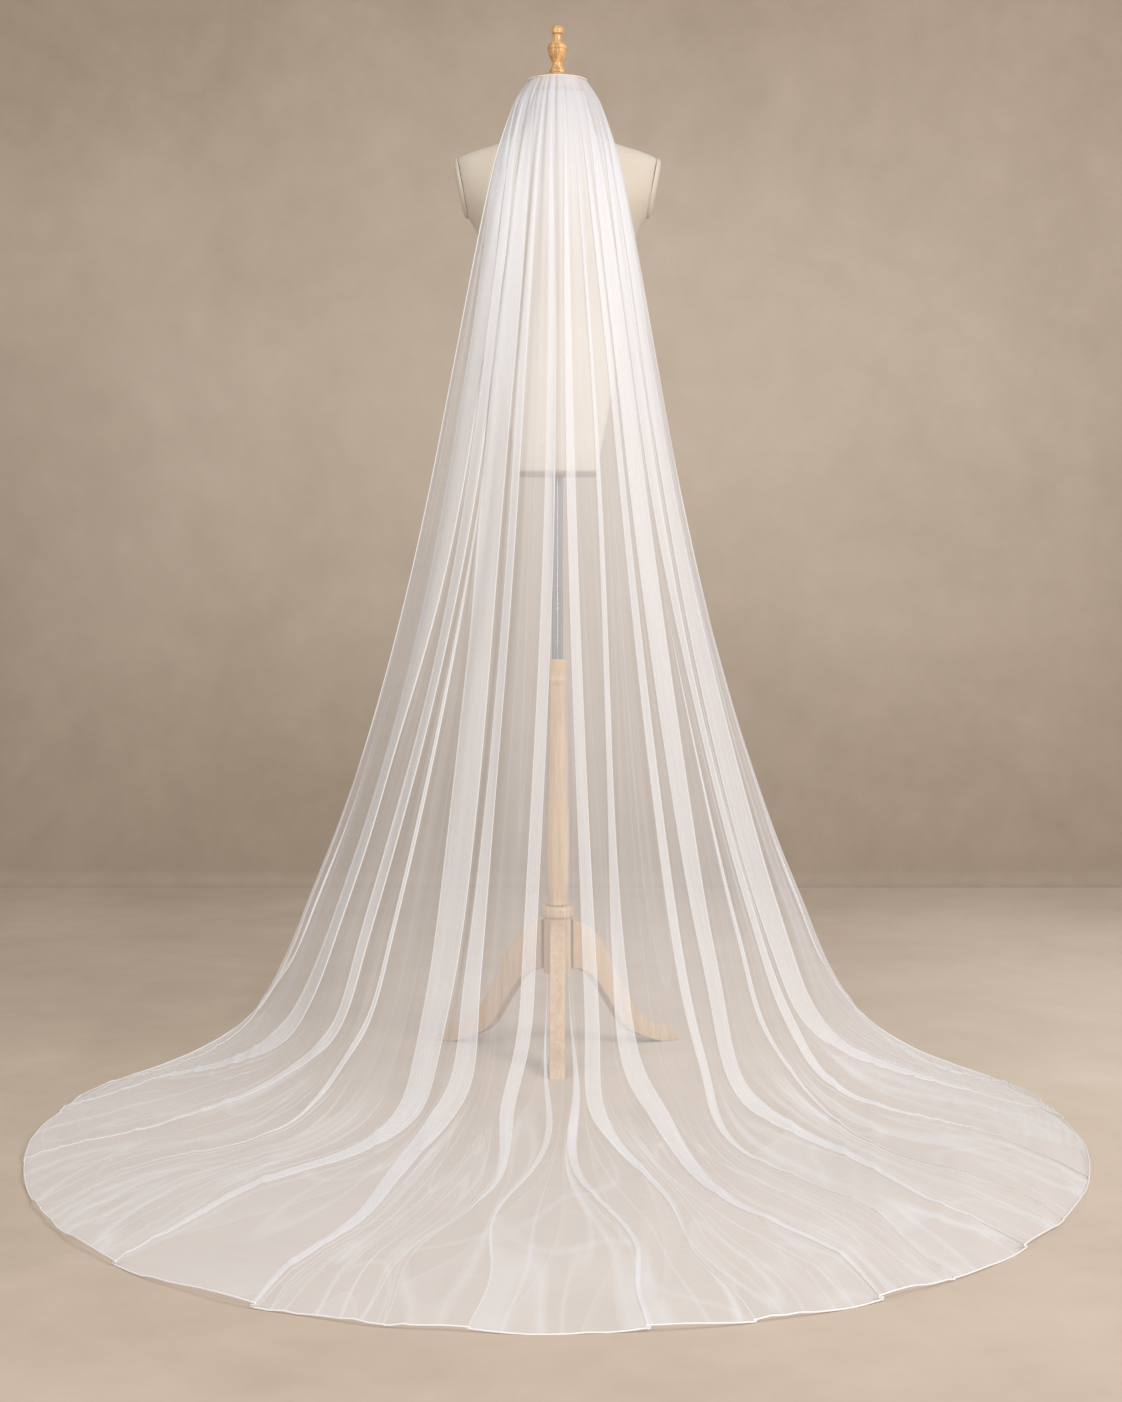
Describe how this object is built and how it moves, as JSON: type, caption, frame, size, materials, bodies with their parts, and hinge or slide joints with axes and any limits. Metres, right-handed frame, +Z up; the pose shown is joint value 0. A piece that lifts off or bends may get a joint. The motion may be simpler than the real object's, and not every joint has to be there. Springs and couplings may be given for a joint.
{
  "type": "bridal veil on a dress form",
  "caption": "Cathedral-length sheer tulle bridal veil with a fine corded edge, gathered at the neck of a limbless linen dress form on a turned wooden tripod stand, its train spread on the floor.",
  "frame": {"origin": "on the floor, at the middle of the footprint of the form and train together", "axes": "+Z up, -Y the way the train runs out behind the form, +X to the right as seen from the train"},
  "size_m": [1.6219, 1.8542, 1.8693],
  "materials": {
    "tulle": "sheer soft tulle",
    "edge_cord": "satin corded edge",
    "linen": "matt plain weave",
    "honey_wood": "satin varnish",
    "pale_wood": "satin",
    "steel": "satin"
  },
  "bodies": {
    "root": {"veil_panel": "tulle", "edge_left": "edge_cord", "edge_hem": "edge_cord", "edge_right": "edge_cord", "gathering_cord": "edge_cord", "torso": "linen", "arm_plate_left": "linen", "arm_plate_right": "linen", "neck_cap": "honey_wood", "finial": "honey_wood", "steel_rod": "steel", "pole": "pale_wood", "collar": "pale_wood", "hub": "pale_wood", "leg_back": "pale_wood", "leg_left": "pale_wood", "leg_right": "pale_wood"}
  },
  "joints": []
}
